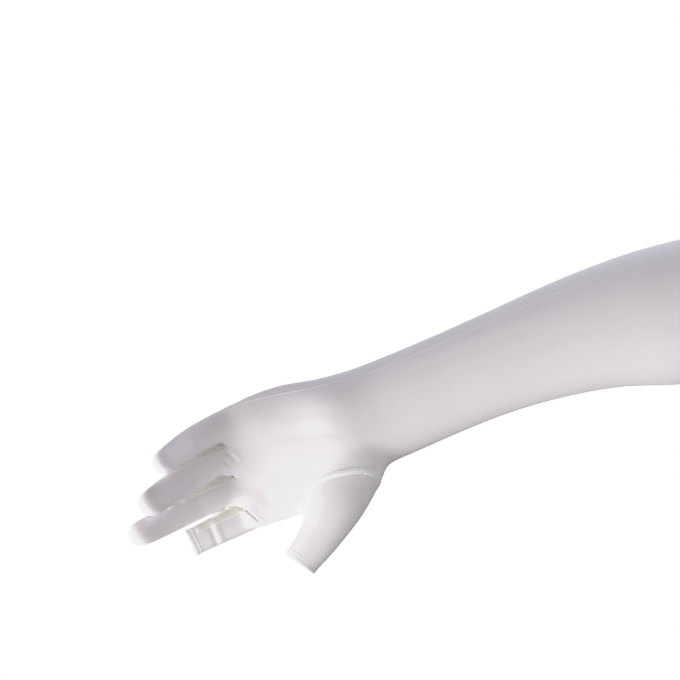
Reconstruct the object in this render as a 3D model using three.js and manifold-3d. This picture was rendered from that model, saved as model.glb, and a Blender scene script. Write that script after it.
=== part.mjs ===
// Sun protection arm sleeve for a left arm: a long stretch-fabric glove. One main panel wraps the arm and
// the hand, side strips lie between the fingers, the thumb is set in, and the thumb and index have open,
// hemmed tips. Units are millimetres. Inside the glove group, x = 0 is the wrist, +X runs up the arm, -Y is
// the palm side and +Z is the little finger side. The exported group is moved so that its origin is the
// centre of the arm opening.
import * as THREE from "three";
import Module from "manifold-3d";

const wasm = await Module();
wasm.setup();

// Driving dimensions
const WALL = 1.2; // fabric wall
const GAP = 0.3; // clearance between sewn pieces
const CUFF_X = 330; // wrist to the end of the cuff
const CUFF_HEM = 18; // width of the cuff's hem
const TIP_HEM = 6.5; // width of the hems of the open finger tips
const HEM_LIFT = 0.6; // a hem is folded double, so it stands this proud of the wall
const SEAM_LIFT = 1.1; // height of a sewn seam above the wall
const SIDE_SEAM_WIDTH = 2.4;
const THUMB_SEAM_WIDTH = 4.6;
const STRIP_REACH = 0.86; // share of a finger's length that its side strip covers
const THROUGH = 8; // how far a hollow is carried past an open end so that it cuts clean through
const SLIVER = 0.05; // edges shorter than this are closed up after a cut

// Arm and palm: one row for each section. along: place from the wrist, ulnar and radial: the edges in z,
// palm and back: the surfaces in y, rake: how far the section leans in x for each millimetre of z.
const ARM_SECTIONS = [
  { along: 330, ulnar: 37, radial: -57, palm: -44, back: 44, rake: 0 },
  { along: 270, ulnar: 40, radial: -54, palm: -43, back: 43, rake: 0 },
  { along: 225, ulnar: 44.5, radial: -50, palm: -41, back: 42.6, rake: 0 },
  { along: 192, ulnar: 47, radial: -43.5, palm: -38, back: 41, rake: 0 },
  { along: 155, ulnar: 46.5, radial: -32.5, palm: -33, back: 38, rake: 0 },
  { along: 120, ulnar: 44, radial: -27, palm: -28.6, back: 34, rake: 0 },
  { along: 85, ulnar: 40.5, radial: -25, palm: -25, back: 29.6, rake: 0 },
  { along: 50, ulnar: 37.4, radial: -26.4, palm: -22, back: 25, rake: 0 },
  { along: 20, ulnar: 35.4, radial: -29, palm: -20.4, back: 21.4, rake: 0 },
  { along: -5, ulnar: 34.5, radial: -31.6, palm: -19.6, back: 19.2, rake: 0 },
  { along: -28, ulnar: 36, radial: -35, palm: -17, back: 18.6, rake: 0 },
  { along: -52, ulnar: 39.5, radial: -42.5, palm: -12.8, back: 19.6, rake: 0.04 },
  { along: -74, ulnar: 39.8, radial: -43, palm: -9, back: 19.4, rake: 0.08 },
  { along: -87, ulnar: 38.6, radial: -42.6, palm: -5.6, back: 17, rake: 0.12 },
  { along: -94, ulnar: 36, radial: -39.5, palm: -2.8, back: 14, rake: 0.13 },
  { along: -98, ulnar: 30, radial: -35, palm: 0, back: 11, rake: 0.13 },
];
const ARM_STATIONS = 24; // sections made between the first and the last row
const ARM_CROWDING = 1.8; // above 1 draws those sections together towards the fingers
const ARM_SIDES = 28;
const ARM_SQUARENESS = 2.15; // superellipse exponent of the arm and palm sections

// Fingers: one row each. root: the knuckle, bones: the three lengths to the tip, yaw: the turn of each bone
// from -X towards -Z, flex: its turn towards the palm, width and depth: the stall at the root, both joints
// and the tip.
const FINGERS = [
  {
    name: "little", root: [-80, 9, 29.6], bones: [35, 21.3, 17.6], yaw: [9, 16, 22], flex: [20, 38, 46],
    width: [20.2, 18.6, 17, 15.6], depth: [17, 15.5, 14.6, 13.4], open: false,
  },
  {
    name: "ring", root: [-79, 9, 8], bones: [41, 26.4, 22.4], yaw: [6, 12, 17], flex: [17, 30, 39],
    width: [17.4, 18.2, 18, 16.6], depth: [18, 16, 15, 13.8], open: false,
  },
  {
    name: "middle", root: [-79, 9, -11.4], bones: [42.6, 28.9, 26.1], yaw: [5.5, 6.5, 6.5], flex: [11, 18, 25],
    width: [17.8, 17.4, 17, 16.2], depth: [18, 16.4, 15.4, 14], open: false,
  },
  {
    name: "index", root: [-79, 9.5, -30.2], bones: [32.2, 16, 11.5], yaw: [7.5, 6.6, 7], flex: [3, 4, 5],
    width: [23, 19.6, 18.2, 17.4], depth: [18.4, 17.4, 16.8, 16.4], open: true,
  },
];
const FINGER_STATIONS = 8;
const FINGER_SIDES = 14;
const FINGER_SQUARENESS = 2.3;
const TIP_BLUNTNESS = 2.1; // exponent of the rounded end of a closed finger
const TIP_ROUND = 11; // length of that rounded end
const TIP_STEPS = 3;
const TIP_FLAT = 0.12; // size of the small flat at the very end

// Edges of a side strip on the two fingers that it joins, from their centre lines. inset: towards the other
// finger, low and high: towards the palm and the back. It turns to the palm on the finger nearer the thumb.
const STRIP_FAR = { inset: 0, low: -4.2, high: 4.2 };
const STRIP_NEAR = { inset: 4, low: -9.5, high: 1 };

// Thumb: one row for each section from the heel of the thumb to its open end.
const THUMB_SECTIONS = [
  { x: -2, y: -1, z: -13, width: 21, depth: 28 },
  { x: -17.6, y: -3, z: -24.5, width: 33.2, depth: 33 },
  { x: -39.6, y: -6.5, z: -42.4, width: 35.6, depth: 33 },
  { x: -58.4, y: -9.5, z: -59.6, width: 26.6, depth: 25.4 },
  { x: -75.6, y: -11, z: -71.8, width: 21.8, depth: 21.2 },
];
const THUMB_STATIONS = 8;
const THUMB_SIDES = 20;

// The thumb's seam lies close to a plane through these three places on the skin of the glove.
const SEAM_CROTCH = new THREE.Vector3(-66.5, 1, -43.5);
const SEAM_WRIST = new THREE.Vector3(-6, -3, -37.5);
const SEAM_PALM = new THREE.Vector3(-36, -22, -25.5);
// It bows from that plane towards the thumb's tip by this much, at places along the seam from its middle.
const SEAM_BOW = [
  { place: -50, bow: 4 },
  { place: -30, bow: 4 },
  { place: -27, bow: 2.2 },
  { place: -24, bow: -0.2 },
  { place: -20, bow: -2.1 },
  { place: -14, bow: -3 },
  { place: -8, bow: -2.8 },
  { place: 2, bow: -1.7 },
  { place: 10, bow: 0.2 },
  { place: 20, bow: 2.1 },
  { place: 27, bow: 4.4 },
  { place: 50, bow: 5 },
];
const SEAM_STEPS = 15;
const CUT_MARGIN = 20; // the cut reaches this far past both ends of the seam
const CUT_REACH = 90; // and this far towards the thumb's tip and across it
const BAND_MARGIN = -3; // the sewn band stops this much short of both ends of the cut's line

// The side seam: its turn from the little finger edge towards the palm, in degrees, at places along the arm.
const SIDE_SEAM_TURN = [
  { along: 330, turn: 40 },
  { along: 120, turn: 37 },
  { along: 10, turn: 36 },
  { along: -50, turn: 30 },
  { along: -88, turn: 20 },
];
const SIDE_SEAM_STEPS = 28;

const fabric = (name, colour, roughness) =>
  new THREE.MeshStandardMaterial({ name, color: colour, roughness, metalness: 0 });
const WHITE_KNIT = fabric("white_knit", 0xe9e7ec, 0.78);
const STRIP_KNIT = fabric("strip_knit", 0xe3e2e4, 0.8);
const HEM_KNIT = fabric("hem_knit", 0xf1f1f4, 0.75);
const SEAM_THREAD = fabric("seam_thread", 0xf4f5f6, 0.7);

// Smooth value of one column at a place, by a cubic through the rows either side of it.
function columnAt(rows, place, key, at) {
  const last = rows.length - 1;
  const rising = rows[last][place] > rows[0][place];
  const beyond = (row) => (rising ? row[place] >= at : row[place] <= at);
  const found = rows.findIndex(beyond);
  const hi = Math.min(Math.max(found < 0 ? last : found, 1), last);
  const lo = hi - 1;
  const slope = (i) => {
    const a = rows[Math.max(i - 1, 0)];
    const b = rows[Math.min(i + 1, last)];
    return (b[key] - a[key]) / (b[place] - a[place]);
  };
  const span = rows[hi][place] - rows[lo][place];
  const t = (at - rows[lo][place]) / span;
  if (t < 0) return rows[lo][key];
  if (t > 1) return rows[hi][key];
  const rise = rows[hi][key] - rows[lo][key];
  const bend = (1 - t) * (slope(lo) * span - rise) - t * (slope(hi) * span - rise);
  return rows[lo][key] + rise * t + t * (1 - t) * bend;
}

// Power of a sine or cosine that keeps its sign: the corner shape of a superellipse.
const rounded = (value, exponent) => Math.sign(value) * Math.abs(value) ** (2 / exponent);

// Point on the arm and palm surface, moved outwards by offset. turn is measured from +Z towards +Y.
function armPoint(along, turn, offset) {
  const [ulnar, radial, palm, back, rake] = ["ulnar", "radial", "palm", "back", "rake"].map((key) =>
    columnAt(ARM_SECTIONS, "along", key, along),
  );
  const half = (ulnar - radial) / 2 + offset;
  const depth = (Math.sin(turn) < 0 ? -palm : back) + offset;
  const across = half * rounded(Math.cos(turn), ARM_SQUARENESS);
  const z = (ulnar + radial) / 2 + across;
  return new THREE.Vector3(along + rake * z, depth * rounded(Math.sin(turn), ARM_SQUARENESS), z);
}

const turns = (sides) => Array.from({ length: sides }, (_, k) => (2 * Math.PI * k) / sides);
const steps = (count, from, to) =>
  Array.from({ length: count + 1 }, (_, i) => from + ((to - from) * i) / count);

// Closed solid through rings of points: side faces between the rings and a fan on each end.
function loft(rings) {
  const sides = rings[0].length;
  const centre = (ring) => ring.reduce((sum, p) => sum.add(p), new THREE.Vector3()).divideScalar(sides);
  const points = [...rings.flat(), centre(rings[0]), centre(rings.at(-1))];
  const first = rings.length * sides;
  const index = [];
  for (let k = 0; k < sides; k++) {
    const next = (k + 1) % sides;
    for (let i = 0; i + 1 < rings.length; i++) {
      const [a, b, c, d] = [i * sides + k, i * sides + next, (i + 1) * sides + k, (i + 1) * sides + next];
      index.push(a, b, c, b, d, c);
    }
    const top = (rings.length - 1) * sides;
    index.push(first, next, k, first + 1, top + k, top + next);
  }
  const geometry = new THREE.BufferGeometry().setFromPoints(points);
  return solidOf(geometry.setIndex(index));
}

// Solid of a closed indexed geometry.
function solidOf(geometry) {
  return new wasm.Manifold(
    new wasm.Mesh({
      numProp: 3,
      vertProperties: new Float32Array(geometry.getAttribute("position").array),
      triVerts: new Uint32Array(geometry.index.array),
    }),
  );
}

// The main body of a cut, without the slivers and scraps that a cut can leave.
const mainBody = (solid) =>
  solid.simplify(SLIVER).decompose().sort((a, b) => b.volume() - a.volume())[0];

const joined = (solids) => solids.reduce((whole, solid) => whole.add(solid));

// Ring of points round a curve: side lies across the palm, normal points to the back of the hand.
function ringOn({ curve, width, depth, sides }, u, offset, scale = 1) {
  const tangent = curve.getTangentAt(u);
  const side = new THREE.Vector3(0, 1, 0).cross(tangent).normalize();
  const normal = tangent.clone().cross(side);
  const halfWidth = (sizeAt(curve, width, u) / 2 + offset) * scale;
  const halfDepth = (sizeAt(curve, depth, u) / 2 + offset) * scale;
  const middle = curve.getPointAt(u);
  return turns(sides).map((turn) =>
    middle
      .clone()
      .addScaledVector(side, halfWidth * rounded(Math.cos(turn), FINGER_SQUARENESS))
      .addScaledVector(normal, halfDepth * rounded(Math.sin(turn), FINGER_SQUARENESS)),
  );
}

// Ring moved along a direction, for carrying a hollow past an open end.
const moved = (ring, direction, distance) => ring.map((p) => p.clone().addScaledVector(direction, distance));

// Arm and palm, from the cuff to the roots of the fingers.
function armSolid(offset, from) {
  const to = ARM_SECTIONS.at(-1).along - offset;
  const rings = steps(ARM_STATIONS, 1, 0).map((share) => {
    const along = to + (from - to) * share ** ARM_CROWDING;
    return turns(ARM_SIDES).map((turn) => armPoint(along, turn, offset));
  });
  if (offset < 0) rings.unshift(moved(rings[0], new THREE.Vector3(1, 0, 0), THROUGH));
  return loft(rings);
}

// Smooth centre line of a finger through its knuckle, its joints and its tip.
function fingerCurve(finger) {
  const joints = [new THREE.Vector3(...finger.root)];
  finger.bones.forEach((bone, i) => {
    const yaw = THREE.MathUtils.degToRad(finger.yaw[i]);
    const flex = THREE.MathUtils.degToRad(finger.flex[i]);
    const step = new THREE.Vector3(
      -Math.cos(flex) * Math.cos(yaw), -Math.sin(flex), -Math.cos(flex) * Math.sin(yaw),
    );
    joints.push(joints.at(-1).clone().addScaledVector(step, bone));
  });
  return new THREE.CatmullRomCurve3(joints, false, "centripetal");
}

// A limb is a centre line with its widths and depths: the four fingers and the thumb.
const LIMBS = new Map(
  FINGERS.map((finger) => [finger.name, { ...finger, curve: fingerCurve(finger), sides: FINGER_SIDES }]),
);
const THUMB = {
  curve: new THREE.CatmullRomCurve3(
    THUMB_SECTIONS.map(({ x, y, z }) => new THREE.Vector3(x, y, z)), false, "centripetal",
  ),
  width: THUMB_SECTIONS.map((row) => row.width),
  depth: THUMB_SECTIONS.map((row) => row.depth),
  sides: THUMB_SIDES,
};

// Width or depth at a share u of a curve's length, from values stated at the curve's own points.
function sizeAt(curve, values, u) {
  const rows = values.map((size, i) => ({ point: i / (values.length - 1), size }));
  return columnAt(rows, "point", "size", curve.getUtoTmapping(Math.min(u, 1)));
}

// Rings of a limb from one share of its length to another.
const limbRings = (limb, offset, from, to, count) =>
  steps(count, from, to).map((u) => ringOn(limb, u, offset));

// A limb that ends square, where its hem begins.
function openLimb(limb, offset, stations) {
  const end = 1 - (TIP_HEM + GAP) / limb.curve.getLength();
  const rings = limbRings(limb, offset, 0, end, stations);
  if (offset < 0) rings.push(moved(rings.at(-1), limb.curve.getTangentAt(end), THROUGH));
  return loft(rings);
}

// A limb that ends in a blunt rounded tip.
function closedLimb(limb, offset, stations) {
  const length = limb.curve.getLength();
  const tip = 1 + Math.min(offset, 0) / length;
  const shoulder = tip - TIP_ROUND / length;
  const rings = limbRings(limb, offset, 0, shoulder, stations);
  for (const share of steps(TIP_STEPS, 0, 1).slice(1)) {
    const angle = (share * Math.PI) / 2;
    const u = shoulder + (tip - shoulder) * Math.sin(angle) ** (2 / TIP_BLUNTNESS);
    const scale = Math.max(Math.cos(angle), TIP_FLAT) ** (2 / TIP_BLUNTNESS);
    rings.push(ringOn(limb, u, offset, scale));
  }
  return loft(rings);
}

// The whole glove as one solid, grown by offset or, where offset is negative, shrunk to its hollow.
const gloveSolid = (offset) =>
  joined([
    armSolid(offset, CUFF_X - CUFF_HEM - GAP),
    openLimb(THUMB, offset, THUMB_STATIONS),
    ...Array.from(LIMBS.values(), (limb) =>
      (limb.open ? openLimb : closedLimb)(limb, offset, FINGER_STATIONS),
    ),
  ]);

// Block between two distances from the thumb's bowed seam, reaching past both ends of the seam by a margin.
function seamBlock(near, far, margin) {
  const along = SEAM_WRIST.clone().sub(SEAM_CROTCH);
  const half = along.length() / 2 + margin;
  along.normalize();
  const out = along.clone().cross(SEAM_PALM.clone().sub(SEAM_CROTCH)).normalize();
  const rise = out.clone().cross(along);
  const middle = SEAM_CROTCH.clone().add(SEAM_WRIST).multiplyScalar(0.5);
  const rings = steps(SEAM_STEPS, -half, half).map((place) => {
    const bow = columnAt(SEAM_BOW, "place", "bow", place);
    const corner = (up, away) =>
      middle
        .clone()
        .addScaledVector(along, place)
        .addScaledVector(rise, (up * CUT_REACH) / 2)
        .addScaledVector(out, away + bow);
    return [corner(-1, near), corner(1, near), corner(1, far), corner(-1, far)];
  });
  return loft(rings);
}

// Slab between two neighbouring fingers that holds the side strip between them.
function stripSlab(a, b, grown) {
  const end = STRIP_REACH + grown / a.curve.getLength();
  const rings = steps(FINGER_STATIONS, 0, end).map((u) => {
    const [p, q] = [a, b].map((limb) => limb.curve.getPointAt(u));
    const over = q.clone().sub(p).normalize();
    p.addScaledVector(over, STRIP_FAR.inset - grown);
    q.addScaledVector(over, grown - STRIP_NEAR.inset);
    const raised = (point, y) => point.clone().setY(point.y + y);
    return [
      raised(p, STRIP_FAR.low - grown),
      raised(p, STRIP_FAR.high + grown),
      raised(q, STRIP_NEAR.high + grown),
      raised(q, STRIP_NEAR.low - grown),
    ];
  });
  return loft(rings);
}

// Hem: a band of doubled cloth between outer and inner rings.
const hemSolid = (outer, inner) => loft(outer).subtract(loft(inner));

function tipHem(limb) {
  const start = 1 - TIP_HEM / limb.curve.getLength();
  const inner = limbRings(limb, -WALL, start, 1, 2);
  inner.unshift(moved(inner[0], limb.curve.getTangentAt(start), -THROUGH));
  inner.push(moved(inner.at(-1), limb.curve.getTangentAt(1), THROUGH));
  return hemSolid(limbRings(limb, HEM_LIFT, start, 1, 2), inner);
}

function cuffHem() {
  const rings = (offset) =>
    steps(2, CUFF_X, CUFF_X - CUFF_HEM).map((along) =>
      turns(ARM_SIDES).map((turn) => armPoint(along, turn, offset)),
    );
  const inner = rings(-WALL);
  inner.unshift(moved(inner[0], new THREE.Vector3(1, 0, 0), THROUGH));
  inner.push(moved(inner.at(-1), new THREE.Vector3(-1, 0, 0), THROUGH));
  return hemSolid(rings(HEM_LIFT), inner);
}

// Side seam: a low ridge along the little finger side, from the finger's root to the cuff's hem.
function sideSeam() {
  const from = SIDE_SEAM_TURN.at(-1).along;
  const to = CUFF_X - CUFF_HEM - GAP;
  const rings = steps(SIDE_SEAM_STEPS, to, from).map((along) => {
    const turn = -THREE.MathUtils.degToRad(columnAt(SIDE_SEAM_TURN, "along", "turn", along));
    const girth = armPoint(along, turn + 0.01, 0).distanceTo(armPoint(along, turn, 0)) / 0.01;
    const spread = SIDE_SEAM_WIDTH / 2 / girth;
    const at = (side, offset) => armPoint(along, turn + side * spread, offset);
    return [at(-1, -WALL), at(-0.6, SEAM_LIFT), at(0.6, SEAM_LIFT), at(1, -WALL)];
  });
  return loft(rings).subtract(gloveSolid(GAP));
}

const skin = gloveSolid(0).subtract(gloveSolid(-WALL));
const thumbSide = seamBlock(GAP / 2, CUT_REACH, CUT_MARGIN);
const thumbRoom = seamBlock(-GAP / 2, CUT_REACH, CUT_MARGIN);
const fingers = [...LIMBS.values()];
const pairs = fingers.slice(1).map((finger, i) => [fingers[i], finger]);

let body = skin.subtract(thumbRoom);
const strips = pairs.map(([a, b]) => {
  const strip = body.intersect(stripSlab(a, b, 0));
  body = body.subtract(stripSlab(a, b, GAP));
  return { name: `side_strip_${a.name}_${b.name}`, solid: strip };
});
const seamBand = gloveSolid(SEAM_LIFT)
  .subtract(gloveSolid(GAP))
  .intersect(seamBlock(-THUMB_SEAM_WIDTH / 2, THUMB_SEAM_WIDTH / 2, BAND_MARGIN));

// Mesh of a finished piece.
function piece(name, solid, material) {
  const { vertProperties, triVerts } = mainBody(solid).getMesh();
  const geometry = new THREE.BufferGeometry();
  geometry.setAttribute("position", new THREE.BufferAttribute(vertProperties, 3));
  geometry.setIndex(new THREE.BufferAttribute(triVerts, 1));
  geometry.computeVertexNormals();
  const mesh = new THREE.Mesh(geometry, material);
  mesh.name = name;
  return mesh;
}

const glove = new THREE.Group();
glove.add(
  piece("sleeve_body", body, WHITE_KNIT),
  piece("thumb", skin.intersect(thumbSide), WHITE_KNIT),
  ...strips.map((strip) => piece(strip.name, strip.solid, STRIP_KNIT)),
  piece("thumb_seam", seamBand, SEAM_THREAD),
  piece("side_seam", sideSeam(), SEAM_THREAD),
  piece("index_hem", tipHem(LIMBS.get("index")), HEM_KNIT),
  piece("thumb_hem", tipHem(THUMB), HEM_KNIT),
  piece("cuff_hem", cuffHem(), HEM_KNIT),
);
const cuff = ARM_SECTIONS[0];
glove.position.set(-CUFF_X, 0, -(cuff.ulnar + cuff.radial) / 2);

const sleeve = new THREE.Group();
sleeve.name = "sun_protection_arm_sleeve";
sleeve.add(glove);
export default sleeve;
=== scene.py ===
"""Looks of a sun protection arm sleeve: a long white knitted glove for a left arm, as it sits when worn.

The glove's shell is one smooth cloth surface. It starts as closed lofts of the arm, thumb and fingers,
which a voxel remesh joins. Numpy then relaxes it where the cloth spans a hollow, and gives it its soft relief
and folds. The shell is cut along the thumb's seam and the hems, and the side strips, seam bands, hems and
stitches are sewn on it. Tables are in millimetres from the wrist: +X up the arm, -Y out of the palm, +Z
towards the little finger.
"""

import contextlib
import functools
import math

import bmesh
import bpy
import numpy as np
from bpy.props import FloatProperty, FloatVectorProperty, PointerProperty
from bpy.types import Operator, Panel, PropertyGroup
from mathutils import Matrix, Vector
from mathutils.bvhtree import BVHTree


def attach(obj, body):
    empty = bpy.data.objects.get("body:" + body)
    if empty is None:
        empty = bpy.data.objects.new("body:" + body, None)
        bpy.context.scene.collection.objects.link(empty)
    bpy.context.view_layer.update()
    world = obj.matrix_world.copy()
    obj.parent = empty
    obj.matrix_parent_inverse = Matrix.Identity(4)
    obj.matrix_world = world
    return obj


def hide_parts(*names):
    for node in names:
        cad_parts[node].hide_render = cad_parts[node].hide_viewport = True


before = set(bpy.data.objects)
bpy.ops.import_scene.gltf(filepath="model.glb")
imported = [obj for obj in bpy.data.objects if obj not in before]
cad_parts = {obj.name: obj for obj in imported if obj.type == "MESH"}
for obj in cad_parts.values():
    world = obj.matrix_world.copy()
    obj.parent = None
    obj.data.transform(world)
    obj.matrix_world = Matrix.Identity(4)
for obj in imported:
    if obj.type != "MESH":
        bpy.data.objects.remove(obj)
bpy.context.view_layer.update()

bl_info = {
    "name": "Sun sleeve",
    "version": (1, 0, 0),
    "blender": (4, 5, 0),
    "location": "3D View > Sidebar > Sleeve",
    "description": "Builds a stretch-knit sun sleeve with a glove hand around its packed solids",
    "category": "Object",
}


def table(*rows):
    """Rows of given values as an array."""
    return np.array(rows, float)


MM = 0.001
WRIST = np.array([-330.0, 0.0, 10.0])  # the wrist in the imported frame, from the middle of the arm opening
CUFF_X = 330.0
CUFF_HEM = 18.0
TIP_HEM = 6.5
HEM_BEAD = 0.15  # how far the rolled edge of a hem stands above the rest of it
HEM_INNER = -1.0  # the underside of a hem, from the cloth's face
HEM_SEWN = 3.2  # from a hem's edge to its line of stitches
HEM_LAP = 2.0  # how far the cloth runs on over the start of a hem
ARM_SQUARENESS = 2.15
LIMB_SQUARENESS = 2.3
TIP_ROUND = 11.0
TIP_BLUNTNESS = 2.1
ARM_OVER = 4.0  # how far the arm's loft runs on past the cuff
ARM_SPREAD = 1.5  # its rings lie closer together towards the palm
TIP_OVER = 1.04  # share of its length to which the loft of an open finger runs
FOLD_FADE = 0.2  # share of a fold's length over which each end fades

# Arm and palm: along, then the ulnar and radial edges in z, the palm and back in y, and the section's lean.
ARM_SECTIONS = table(
    (-98, 30, -35, 0, 11, 0.13), (-94, 36, -39.5, -2.8, 14, 0.13), (-87, 38.6, -42.6, -5.6, 17, 0.12),
    (-74, 39.8, -43, -9, 19.4, 0.08), (-52, 39.5, -42.5, -12.8, 19.6, 0.04), (-28, 36, -35, -17, 18.6, 0),
    (-5, 34.5, -31.6, -19.6, 19.2, 0), (20, 35.4, -29, -20.4, 21.4, 0), (50, 37.4, -26.4, -22, 25, 0),
    (85, 40.5, -25, -25, 29.6, 0), (120, 44, -27, -28.6, 34, 0), (155, 46.5, -32.5, -33, 38, 0),
    (192, 47, -43.5, -38, 41, 0), (225, 44.5, -50, -41, 42.6, 0), (270, 40, -54, -43, 43, 0),
    (330, 37, -57, -44, 44, 0),
)

# Fingers: the knuckle, the three bones, their turn from -X to -Z and towards the palm, and the stall's sizes.
FINGERS = {
    "little": {
        "root": (-80, 9, 29.6), "bones": (35, 21.3, 17.6), "yaw": (9, 16, 22), "flex": (20, 38, 46),
        "width": (20.2, 18.6, 17, 15.6), "depth": (17, 15.5, 14.6, 13.4),
    },
    "ring": {
        "root": (-79, 9, 8), "bones": (41, 26.4, 22.4), "yaw": (6, 12, 17), "flex": (17, 30, 39),
        "width": (17.4, 18.2, 18, 16.6), "depth": (18, 16, 15, 13.8),
    },
    "middle": {
        "root": (-79, 9, -11.4), "bones": (42.6, 28.9, 26.1), "yaw": (5.5, 6.5, 6.5), "flex": (11, 18, 25),
        "width": (17.8, 17.4, 17, 16.2), "depth": (18, 16.4, 15.4, 14),
    },
    "index": {
        "root": (-79, 9.5, -30.2), "bones": (32.2, 16, 11.5), "yaw": (7.5, 6.6, 7), "flex": (3, 4, 5),
        "width": (23, 19.6, 18.2, 17.4), "depth": (18.4, 17.4, 16.8, 16.4),
    },
}

# Thumb: x, y, z, width and depth from the heel of the thumb to its open end.
THUMB_SECTIONS = table(
    (-2, -1, -13, 21, 28), (-17.6, -3, -24.5, 33.2, 33), (-39.6, -6.5, -42.4, 35.6, 33),
    (-58.4, -9.5, -59.6, 26.6, 25.4), (-75.6, -11, -71.8, 21.8, 21.2),
)

# The thumb's seam lies close to the plane through these places on the shell: crotch, wrist and palm.
SEAM_CROTCH = np.array([-66.5, 1, -43.5])
SEAM_WRIST = np.array([-6, -3, -37.5])
SEAM_PALM = np.array([-36, -22, -25.5])

# It bows from that plane towards the thumb's tip: place along the seam from its middle, and the bow there.
SEAM_BOW = table(
    (-50, 4), (-30, 4), (-27, 1.4), (-24, -1.7), (-20, -4), (-14, -5), (-8, -4.7), (2, -2.8), (10, -0.8),
    (20, 1.4), (27, 4.2), (50, 5),
)

# Side strips on the finger nearer the thumb: share of its length, then the palm edge's and the back edge's
# turn from the side towards the palm, in degrees. On the other finger a strip lies between two fixed turns.
STRIP_EDGES = {
    "ring": table((0.2, 58, 0), (0.5, 42, -6), (0.9, 26, -12)),
    "middle": table((0.2, 58, 0), (0.5, 44, -6), (0.9, 26, -12)),
    "index": table((0.2, 74, 44), (0.6, 69, 34), (1.0, 64, 32)),
}
STRIP_FAR_TURNS = (176.0, 222.0)
STRIP_REACH = {"ring": 0.72, "middle": 0.72, "index": 0.88}  # share of its finger that a strip covers
STRIP_BASE = 0.3  # share where a strip leaves the finger for the crotch
STRIP_BAY = 6.0  # how far the crotch lies behind that
STRIP_PAIRS = (("little", "ring"), ("ring", "middle"), ("middle", "index"))

# The side seam's turn from the little finger edge towards the palm, in degrees, along the arm.
SIDE_SEAM_TURN = table((-88, 20), (-50, 30), (10, 36), (120, 37), (330, 40))

# Places where the cloth spans a hollow and is drawn smooth: x, y, z, reach and strength.
SPANS = table(
    (-96, 5, 13, 9, 0.9), (-97, 6, -5, 9, 0.9), (-99, 9, -24, 9, 0.7), (-94, -3, 22, 16, 0.75),
    (-96, -3, 3, 14, 0.75), (-98, -3, -14, 12, 0.7), (-90, 19, 0, 30, 0.6), (-86, 13, 33, 15, 0.9),
    (-82, 13, -37, 14, 0.9), (-62, -2, -44, 10, 0.8), (-30, -15, -22, 24, 0.8), (-40, 9, -38, 20, 0.8),
    (-2, -12, -26, 16, 0.8), (0, 4, -28, 16, 0.8),
)

# Soft relief: x, z, reach along x, reach along z, height and side (-1 palm, 1 back).
RELIEF = table(
    (-26, 18, 18, 14, 2.6, -1), (-24, -8, 16, 14, 1.6, -1), (-80, -8, 22, 22, -3.2, -1),
    (-80, 27, 17, 10, 1.6, -1), (2, 4, 20, 34, -0.7, -1), (-28, -49, 12, 12, 1.3, -1),
    (-40, -61, 12, 12, 1.5, -1), (-52, -73, 12, 12, 1.3, -1), (-86, 24, 12, 7, 0.6, 1),
    (-83, 8, 12, 7, 1.2, 1), (-83, -11, 12, 7, 1.3, 1), (-82, -27, 12, 7, 0.6, 1),
)

# Folds: a line from x, z to x, z, its bow, its width and height, and its side (-1 palm, 1 back).
FOLDS = table(
    (-95.4, -26.5, -87.4, -42, -1.5, 2.6, 0.4, -1), (-122.4, -27, -121.8, -46, 0, 1.2, -0.5, -1),
    (-125.6, -25, -125, -34, 0, 1, -0.4, -1), (-118.6, -27, -118, -47, 0, 1.8, 0.4, -1),
    (-97.5, 11.5, -93.5, 1, 1.2, 1.5, -0.9, -1), (-95.2, 10, -90.5, 2, 1, 1.6, 0.5, -1),
    (-100.5, 6, -96.8, -1, 0.8, 1.4, -0.7, -1), (-96, -12, -79, -31, 2, 6, -0.5, -1),
    (-66, 16, -20, 7.5, 1.5, 3.2, 0.2, -1), (-68, 8.5, -18, -3, 1.5, 2.6, -0.2, -1),
    (-116, 33, -114, 15, 0, 3, -0.2, -1), (-121, 13, -120, -6, 0, 3, -0.2, -1),
    (-123, -7, -122, -25, 0, 3, -0.15, -1), (-64, -49, -56.5, -48.5, 0.6, 1.4, -0.4, -1),
    (8, 25, 150, 29, 2, 2.6, 0.16, -1), (14, 18, 130, 21, 2, 3, -0.14, -1), (50, 6, 210, 9, -2, 4, 0.14, -1),
    (30, -6, 160, -4, -2, 3.4, -0.12, -1),
)

# Slits between the fingers, on the palm side: x, lower and upper edge in z, and depth under the upper edge.
SLITS = (
    table(
        (-124, 11.4, 12, 0), (-121, 10, 12.8, 1), (-112, 11, 15.3, 4),
        (-103, 10.9, 16.9, 6), (-98, 10.6, 16.3, 5), (-94.8, 12, 14, 0),
    ),
    table(
        (-127, -7.6, -6.8, 0), (-122, -8.5, -5.2, 1), (-114.8, -8.7, -4.1, 4),
        (-104.4, -9, -3.3, 6), (-99, -9.3, -5, 5), (-95.5, -8.5, -7.5, 0),
    ),
    table(
        (-116, -26, -23.4, 0), (-109, -26, -22.4, 3), (-103, -28, -24, 4),
        (-98, -31.5, -27, 3.2), (-93, -40, -35, 1.8), (-88.5, -46, -42, 0),
    ),
)


def linear(hexa):
    """Linear RGB of an sRGB hex value: the sRGB curve undone for each channel."""
    channels = np.array([int(hexa[i : i + 2], 16) for i in (1, 3, 5)]) / 255
    return tuple(np.where(channels <= 0.04045, channels / 12.92, ((channels + 0.055) / 1.055) ** 2.4))


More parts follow.
